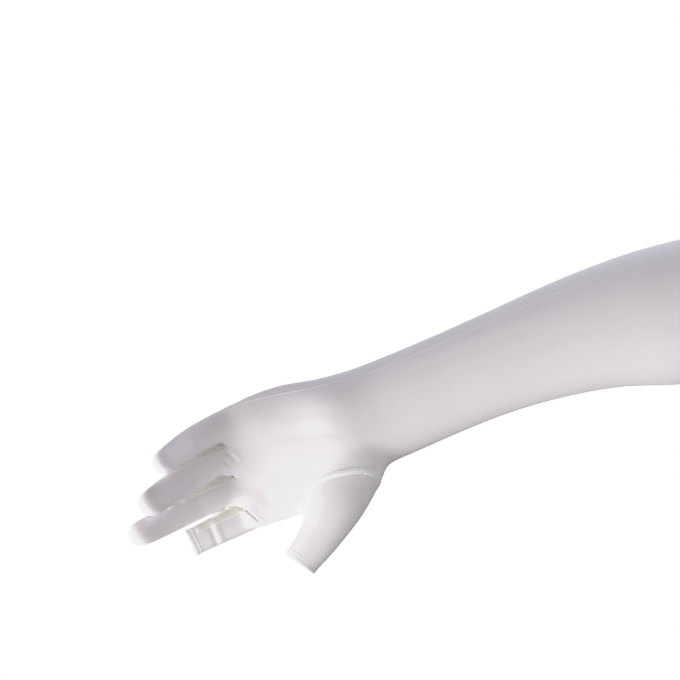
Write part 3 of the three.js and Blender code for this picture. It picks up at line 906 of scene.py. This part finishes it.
def stitch_row(path, normals, pitch):
    """Stitches along a closed path: each a small ellipsoid, long along the path, that lies on the cloth."""
    count = max(int(run_along(path)[-1] / pitch), 2)
    pick = np.round(np.linspace(0, len(path) - 1, count, endpoint=False)).astype(int)
    ahead, up = directions(path, True)[pick], normals[pick]
    across = unit(np.cross(ahead, up))
    ring = np.sqrt(np.maximum(1 - STITCH_RISE**2, 0.02))[:, None]
    local = np.stack(
        np.broadcast_arrays(
            STITCH_RISE[:, None] * pitch * STITCH_SHARE / 2,
            ring * np.cos(STITCH_TURN) * STITCH_WIDTH / 2,
            ring * np.sin(STITCH_TURN) * STITCH_HEIGHT,
        ),
        axis=-1,
    )
    basis = np.stack([ahead, across, up], axis=1)
    return path[pick][:, None, None] + local @ basis[:, None]


HEM_SINK, HEM_RAMP = 0.3, 2.4  # a hem starts this far under the cloth's face and rises over this length
HEM_GROOVE, GROOVE_WIDTH = 0.05, 0.5  # the groove along the stitches
BEAD_START, BEAD_EASE = 0.7, 0.22  # the rolled edge rises this far beyond the stitches, over this length


def hem_profile(width, lift):
    """Closed profile of a hem, as (from the edge, offset): a flat fold that fades into the wall, a groove
    where it is sewn and a soft rolled edge."""
    half = (lift + HEM_BEAD - HEM_INNER) / 2
    place = np.linspace(width, half, 22)
    rise = np.clip((width - place) / HEM_RAMP, 0, 1)
    offset = -HEM_SINK + (lift + HEM_SINK) * rise * rise * (3 - 2 * rise)
    offset += HEM_BEAD / (1 + np.exp((place - HEM_SEWN + BEAD_START) / BEAD_EASE))
    offset -= HEM_GROOVE * np.exp(-(((place - HEM_SEWN) / GROOVE_WIDTH) ** 2))
    bend = np.linspace(math.pi / 2, -math.pi / 2, 9)[1:]
    nose = np.stack([half - half * np.cos(bend), HEM_INNER + half + half * np.sin(bend)], axis=1)
    under = np.stack([np.linspace(half, width, 5)[1:], np.full(4, HEM_INNER)], axis=1)
    return np.concatenate([np.stack([place, offset], axis=1), nose, under])


def hem_piece(name, rings, profile):
    """Hem made of rings, one for each point of its profile."""
    girth = lengths(rings[0] - np.roll(rings[0], 1, axis=0)).sum()
    run = np.linspace(0, girth, rings.shape[1] + 1)
    return grid_piece(name, rings.transpose(1, 0, 2), run, np.append(profile[:, 0], profile[0, 0]), True)


def add_node(tree, kind, inputs=None, **settings):
    """Adds a shader node, sets its properties, and sets or links its inputs."""
    node = tree.nodes.new(kind)
    for key, value in settings.items():
        setattr(node, key, value)
    for key, value in (inputs or {}).items():
        if isinstance(value, bpy.types.NodeSocket):
            tree.links.new(value, node.inputs[key])
        else:
            node.inputs[key].default_value = value
    return node


def new_material(name):
    """Empty node material and its tree."""
    material = bpy.data.materials.new(name)
    material.use_nodes = True
    material.node_tree.nodes.clear()
    return material, material.node_tree


SOFT = {"Specular IOR Level": 0.3, "Sheen Weight": 0.12, "Sheen Roughness": 0.35}
WALE, COURSE = 1.5, 1.1  # pitch of the knit's columns and rows, in millimetres
COURSE_SHARE = 0.45  # height of the rows, as a share of the columns'
FUZZ_SHARE = 0.8  # height of the fuzz, as a share of the ridges'
KNIT_FUZZ, SEWN_FUZZ, TWIST = 900.0, 700.0, 1500.0  # noise per metre: 1.1, 1.4 and 0.7 mm wide
CLOUDS = 28.0  # noise per metre: 36 mm wide
SLANT = 0.5  # how far the ridges of sewn thread lean

# Sewn materials: pitch of the ridges in millimetres and strength of the bump.
SEWN = {
    "side_strip_jersey": (1.2, 0.15),
    "overlock_seam_thread": (1.3, 0.15),
    "flat_seam_jersey": (1.3, 0.12),
    "folded_hem_jersey": (1.5, 0.08),
}


def ridges(tree, place, pitch):
    """Ridges across a run: a sine of the place, in millimetres, that repeats at the pitch."""
    turn = add_node(tree, "ShaderNodeMath", {0: place, 1: 2 * math.pi / pitch}, operation="MULTIPLY")
    return add_node(tree, "ShaderNodeMath", {0: turn.outputs[0]}, operation="SINE").outputs[0]


def dimmed(colour, share=1.0):
    """Colour with its channels scaled, and full alpha."""
    return (*(channel * share for channel in colour), 1)


def cloth_surface(tree, colour, height, strength, looks, distance=0.0002):
    """Ends a material in its surface: the colour, the looks, and a bump from the height."""
    bump = add_node(tree, "ShaderNodeBump", {"Height": height, "Strength": strength, "Distance": distance})
    inputs = {"Base Color": colour, "IOR": 1.5, "Normal": bump.outputs["Normal"], **looks}
    shader = add_node(tree, "ShaderNodeBsdfPrincipled", inputs)
    add_node(tree, "ShaderNodeOutputMaterial", {"Surface": shader.outputs[0]})


@functools.cache
def stretch_knit():
    """Fine nylon and elastane jersey, knitted and heat-set: matt, with a soft sheen at grazing angles, faint
    columns of stitches along the arm and slight clouding. Real columns are 0.4 mm apart; these are wider so
    that they show."""
    material, tree = new_material("stretch_jersey_white")
    colours = bpy.context.scene.sleeve_colours
    knit = add_node(tree, "ShaderNodeAttribute", attribute_name="knit")
    place = add_node(tree, "ShaderNodeSeparateXYZ", {0: knit.outputs["Vector"]})
    wales = ridges(tree, place.outputs[0], WALE)
    courses = ridges(tree, place.outputs[1], COURSE)
    stitches = {0: courses, 1: COURSE_SHARE, 2: wales}
    loops = add_node(tree, "ShaderNodeMath", stitches, operation="MULTIPLY_ADD")
    where = add_node(tree, "ShaderNodeTexCoord").outputs["Object"]
    fuzz = add_node(tree, "ShaderNodeTexNoise", {"Vector": where, "Scale": KNIT_FUZZ, "Detail": 2.0})
    heights = {0: fuzz.outputs["Fac"], 1: FUZZ_SHARE, 2: loops.outputs[0]}
    height = add_node(tree, "ShaderNodeMath", heights, operation="MULTIPLY_ADD")
    cloud = add_node(tree, "ShaderNodeTexNoise", {"Vector": where, "Scale": CLOUDS, "Detail": 3.0})
    tints = {"Factor": cloud.outputs["Fac"], 6: dimmed(colours.knit), 7: dimmed(colours.knit, 0.93)}
    tint = add_node(tree, "ShaderNodeMix", tints, data_type="RGBA")
    # Inside the slits the strips' warm colour is mixed in: the lining strip, with a painted warm shade for
    # the bounce light there
    lined_warm_shade = add_node(tree, "ShaderNodeAttribute", attribute_name="lined_warm_shade")
    tints = {"Factor": lined_warm_shade.outputs["Fac"], 6: tint.outputs[2], 7: dimmed(colours.strip)}
    tint = add_node(tree, "ShaderNodeMix", tints, data_type="RGBA")
    cloth_surface(tree, tint.outputs[2], height.outputs[0], 0.09, {"Roughness": 0.82, **SOFT})
    return material


def sewn_material(name, colour):
    """Sewn polyester thread or folded jersey: matt, with ridges at the thread's pitch and fine fuzz."""
    material, tree = new_material(name)
    pitch, strength = SEWN[name]
    uv = add_node(tree, "ShaderNodeUVMap", uv_map="sewn")
    place = add_node(tree, "ShaderNodeSeparateXYZ", {0: uv.outputs[0]})
    slants = {0: place.outputs[1], 1: SLANT, 2: place.outputs[0]}
    slant = add_node(tree, "ShaderNodeMath", slants, operation="MULTIPLY_ADD")
    where = add_node(tree, "ShaderNodeTexCoord").outputs["Object"]
    fuzz = add_node(tree, "ShaderNodeTexNoise", {"Vector": where, "Scale": SEWN_FUZZ, "Detail": 2.0})
    heights = {0: fuzz.outputs["Fac"], 1: FUZZ_SHARE, 2: ridges(tree, slant.outputs[0], pitch)}
    height = add_node(tree, "ShaderNodeMath", heights, operation="MULTIPLY_ADD")
    shades = {"Factor": fuzz.outputs["Fac"], 6: dimmed(colour), 7: dimmed(colour, 0.95)}
    shade = add_node(tree, "ShaderNodeMix", shades, data_type="RGBA")
    cloth_surface(tree, shade.outputs[2], height.outputs[0], strength, {"Roughness": 0.8, **SOFT})
    return material


def sewn_thread():
    """Spun polyester sewing thread: matt white with a slight gloss along the strand and a faint twist."""
    material, tree = new_material("polyester_thread")
    colour = bpy.context.scene.sleeve_colours.thread
    where = add_node(tree, "ShaderNodeTexCoord").outputs["Object"]
    twist = add_node(tree, "ShaderNodeTexNoise", {"Vector": where, "Scale": TWIST, "Detail": 1.0})
    shades = {"Factor": twist.outputs["Fac"], 6: dimmed(colour), 7: dimmed(colour, 0.94)}
    shade = add_node(tree, "ShaderNodeMix", shades, data_type="RGBA")
    cloth_surface(tree, shade.outputs[2], twist.outputs["Fac"], 0.06, {"Roughness": 0.6}, 0.0001)
    return material


class SLEEVE_OT_cloth(Operator):
    """Make the main panel and the set-in thumb."""

    bl_idname = "sleeve.cloth"
    bl_label = "Main panel and thumb"

    def execute(self, context):
        middle, _, _, out = seam_frame()
        solid = fresh_shell()
        drop(solid, split(solid, middle, out, thumb_region))
        trim_end(solid, LIMBS["index"], TIP_HEM)
        cuff, along = CUFF_X - CUFF_HEM + HEM_LAP, np.array([1.0, 0, 0])
        drop(solid, split(solid, cuff * along, along, lambda points: points[:, 0] > cuff - CUT_ROOM))
        finished(cloth_piece("main_panel", solid), "sleeve_body", stretch_knit())

        solid = fresh_shell()
        drop(solid, ~split(solid, middle, out, thumb_region))
        trim_end(solid, THUMB, TIP_HEM)
        finished(cloth_piece("thumb_stall", solid), "thumb", stretch_knit())
        return {"FINISHED"}


class SLEEVE_OT_strips(Operator):
    """Make the side strips between the fingers."""

    bl_idname = "sleeve.strips"
    bl_label = "Side strips"

    def execute(self, context):
        material = sewn_material("side_strip_jersey", context.scene.sleeve_colours.strip)
        for first, second in STRIP_PAIRS:
            piece = strip_piece(f"strip_{first}_{second}", *laid_on_shell(strip_rows(first, second)))
            finished(piece, f"side_strip_{first}_{second}", material)
        return {"FINISHED"}


class SLEEVE_OT_seams(Operator):
    """Make the thumb's seam band and the side seam."""

    bl_idname = "sleeve.seams"
    bl_label = "Seams"

    def execute(self, context):
        sizes, colours = context.scene.sleeve_sizes, context.scene.sleeve_colours
        material = sewn_material("overlock_seam_thread", colours.thread)
        path, normals = thumb_seam_path()
        profile = dome(sizes.thumb_seam / MM, sizes.seam_lift / MM)
        band = ribbon_piece("thumb_band", path, smooth_normals(normals, 8, True), profile, True)
        finished(band, "thumb_seam", material)
        path, normals = side_seam_path()
        profile = dome(sizes.side_seam / MM, sizes.seam_lift / MM * SIDE_LIFT)
        ridge = ribbon_piece("side_ridge", path, smooth_normals(normals, 8), profile)
        finished(ridge, "side_seam", sewn_material("flat_seam_jersey", colours.knit))
        return {"FINISHED"}


class SLEEVE_OT_hems(Operator):
    """Make the hems of the open finger tips and the cuff."""

    bl_idname = "sleeve.hems"
    bl_label = "Hems"

    def execute(self, context):
        lift = context.scene.sleeve_sizes.hem_lift / MM
        material = sewn_material("folded_hem_jersey", context.scene.sleeve_colours.thread)
        profile = hem_profile(TIP_HEM, lift)
        for name, limb in (("index", LIMBS["index"]), ("thumb", THUMB)):
            rings = limb.surface(1 - profile[:, 0] / limb.length, turns(72), profile[:, 1])
            finished(hem_piece(f"{name}_fold", rings, profile), f"{name}_hem", material)
        profile = hem_profile(CUFF_HEM, lift)
        rings = np.stack([arm_surface(CUFF_X - place, turns(160), offset) for place, offset in profile])
        finished(hem_piece("cuff_fold", rings, profile), "cuff_hem", material)
        return {"FINISHED"}


class SLEEVE_OT_stitches(Operator):
    """Sew the rows of stitches on the hems and the thumb's band."""

    bl_idname = "sleeve.stitches"
    bl_label = "Stitches"

    def execute(self, context):
        sizes = context.scene.sleeve_sizes
        pitch, offset = sizes.stitch / MM, sizes.hem_lift / MM - STITCH_SUNK
        tips = (LIMBS["index"], THUMB)
        rings = [limb.surface(np.array([1 - HEM_SEWN / limb.length]), turns(300), offset)[0] for limb in tips]
        rings.append(arm_surface(CUFF_X - HEM_SEWN, turns(900), offset))
        rows = [stitch_row(ring, unit(ring - ring.mean(axis=0)), pitch) for ring in rings]
        path, normals = thumb_seam_path()
        normals = smooth_normals(normals, 8, True)
        across = unit(np.cross(directions(path, True), normals))
        for side in (-1, 1):
            aside = across * side * sizes.thumb_seam / MM * BAND_ROWS
            above = normals * sizes.seam_lift / MM * BAND_HEIGHT
            rows.append(stitch_row(path + aside + above, normals, pitch))
        mesh = mesh_of("stitches", *joined(np.concatenate(rows)))
        closed_up(mesh)
        finished(add_object("stitches", mesh), None, sewn_thread())
        return {"FINISHED"}


CAMERA_DISTANCE = 1.6
SENSOR = 36.0
FRAME_WIDTH = 0.4352  # width of the view at the glove, in metres
CAMERA_ROLL = math.radians(19)
CAMERA_TARGET = (np.array([-4.9, 0, 54.5]) + WRIST) * MM

# Lights, seen from the camera: right, up and towards the camera in metres, then size, power and colour.
LIGHTS = {
    "key": (-0.8, -0.59, 0.3, 0.5, 12.0, "#ffffff"),
    "rim": (-1.0, -0.1, -0.1, 0.5, 2.5, "#ffffff"),
    "sky": (0.3, 0.95, -0.42, 1.0, 9.0, "#f0f3ff"),
    "fill": (0.6, -0.1, 0.85, 0.7, 3.2, "#ffffff"),
}
WORLD_STRENGTH = 0.2
SHOULDER = ((0.84, 0.84), (1.2, 0.9), (1.8, 0.94), (2.0, 1.0))  # light, and what the picture shows of it
BACKDROP = 5.0  # radius of the backdrop, in metres
FLOOR = -2.6  # the floor's height below the glove, in metres


def add_light(name, right, up, near, size, power, colour, basis):
    """Square area light at a place given from the camera's view, aimed at the glove."""
    light = bpy.data.lights.new(name, "AREA")
    light.size = size
    light.energy = power
    light.color = linear(colour)
    lamp = bpy.data.objects.new(name, light)
    place = Vector(CAMERA_TARGET) + basis @ Vector((right, up, near))
    aim = (Vector(CAMERA_TARGET) - place).to_track_quat("-Z", "Y")
    lamp.matrix_world = Matrix.Translation(place) @ aim.to_matrix().to_4x4()
    bpy.context.scene.collection.objects.link(lamp)


def soften_highlights(view):
    """Tone curve of the picture: straight up to SHOULDER's first point, then drawn in at bright edges."""
    view.use_curve_mapping = True
    mapping = view.curve_mapping
    mapping.use_clip = False
    mapping.tone = "FILMLIKE"
    points = mapping.curves[3].points
    points[0].location, points[1].location = (0, 0), SHOULDER[-1]
    for place in SHOULDER[:-1]:
        points.new(*place)
    for point in points:
        point.handle_type = "VECTOR"
    mapping.update()


class SLEEVE_OT_stage(Operator):
    """Set up the floor and backdrop, the light and the camera."""

    bl_idname = "sleeve.stage"
    bl_label = "Stage"

    def execute(self, context):
        scene = context.scene
        turned = Matrix.Rotation(math.pi / 2, 4, "X") @ Matrix.Rotation(-CAMERA_ROLL, 4, "Z")
        camera = bpy.data.objects.new("camera", bpy.data.cameras.new("camera"))
        camera.data.sensor_width = SENSOR
        camera.data.lens = SENSOR * CAMERA_DISTANCE / FRAME_WIDTH
        place = Vector(CAMERA_TARGET) + turned.to_3x3() @ Vector((0, 0, CAMERA_DISTANCE))
        camera.matrix_world = Matrix.Translation(place) @ turned
        scene.collection.objects.link(camera)
        scene.camera = camera
        for name, row in LIGHTS.items():
            add_light(name, *row, turned.to_3x3())

        world = bpy.data.worlds.new("studio")
        world.use_nodes = True
        sky = world.node_tree.nodes["Background"].inputs
        sky["Color"].default_value, sky["Strength"].default_value = (1, 1, 1, 1), WORLD_STRENGTH
        scene.world = world
        scene.view_settings.view_transform = "Standard"
        soften_highlights(scene.view_settings)

        mesh = bpy.data.meshes.new("floor_and_backdrop")
        angle, level = turns(48), np.linspace(-math.pi / 2, math.pi / 2, 25)[:, None]
        ball = np.cos(level) * np.cos(angle), np.cos(level) * np.sin(angle), np.sin(level)
        grid = BACKDROP * np.stack(np.broadcast_arrays(*ball), axis=-1)
        grid[..., 2] = np.maximum(grid[..., 2], FLOOR)
        points = (grid.reshape(-1, 3) + CAMERA_TARGET).tolist()
        mesh.from_pydata(points, [], grid_quads(*grid.shape[:2]).tolist())
        mesh.materials.append(self.backdrop_material(scene.sleeve_colours.stage))
        backdrop = add_object("floor_and_backdrop", mesh)
        for ray in ("diffuse", "glossy", "transmission", "volume_scatter", "shadow"):
            setattr(backdrop, f"visible_{ray}", False)
        return {"FINISHED"}

    @staticmethod
    def backdrop_material(colour):
        """Evenly lit white studio paper."""
        material, tree = new_material("white_studio_paper")
        glow = add_node(tree, "ShaderNodeEmission", {"Color": (*colour, 1), "Strength": SHOULDER[-1][0]})
        add_node(tree, "ShaderNodeOutputMaterial", {"Surface": glow.outputs[0]})
        return material


class VIEW3D_PT_sleeve(Panel):
    """Steps that build the sleeve, in order."""

    bl_label = "Sun sleeve"
    bl_space_type = "VIEW_3D"
    bl_region_type = "UI"
    bl_category = "Sleeve"

    def draw(self, context):
        for operator in OPERATORS:
            self.layout.operator(operator.bl_idname)


OPERATORS = (
    SLEEVE_OT_cloth,
    SLEEVE_OT_strips,
    SLEEVE_OT_seams,
    SLEEVE_OT_hems,
    SLEEVE_OT_stitches,
    SLEEVE_OT_stage,
)
CLASSES = (SleeveSizes, SleeveColours, *OPERATORS, VIEW3D_PT_sleeve)


def register():
    """Registers the classes and the scene's settings."""
    for cls in CLASSES:
        bpy.utils.register_class(cls)
    bpy.types.Scene.sleeve_sizes = PointerProperty(type=SleeveSizes)
    bpy.types.Scene.sleeve_colours = PointerProperty(type=SleeveColours)


def unregister():
    """Removes the scene's settings and the classes."""
    del bpy.types.Scene.sleeve_colours
    del bpy.types.Scene.sleeve_sizes
    for cls in reversed(CLASSES):
        bpy.utils.unregister_class(cls)


def main():
    """Registers the add-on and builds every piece."""
    register()
    bpy.ops.sleeve.cloth()
    bpy.ops.sleeve.strips()
    bpy.ops.sleeve.seams()
    bpy.ops.sleeve.hems()
    bpy.ops.sleeve.stitches()
    bpy.ops.sleeve.stage()


if __name__ == "__main__":
    main()
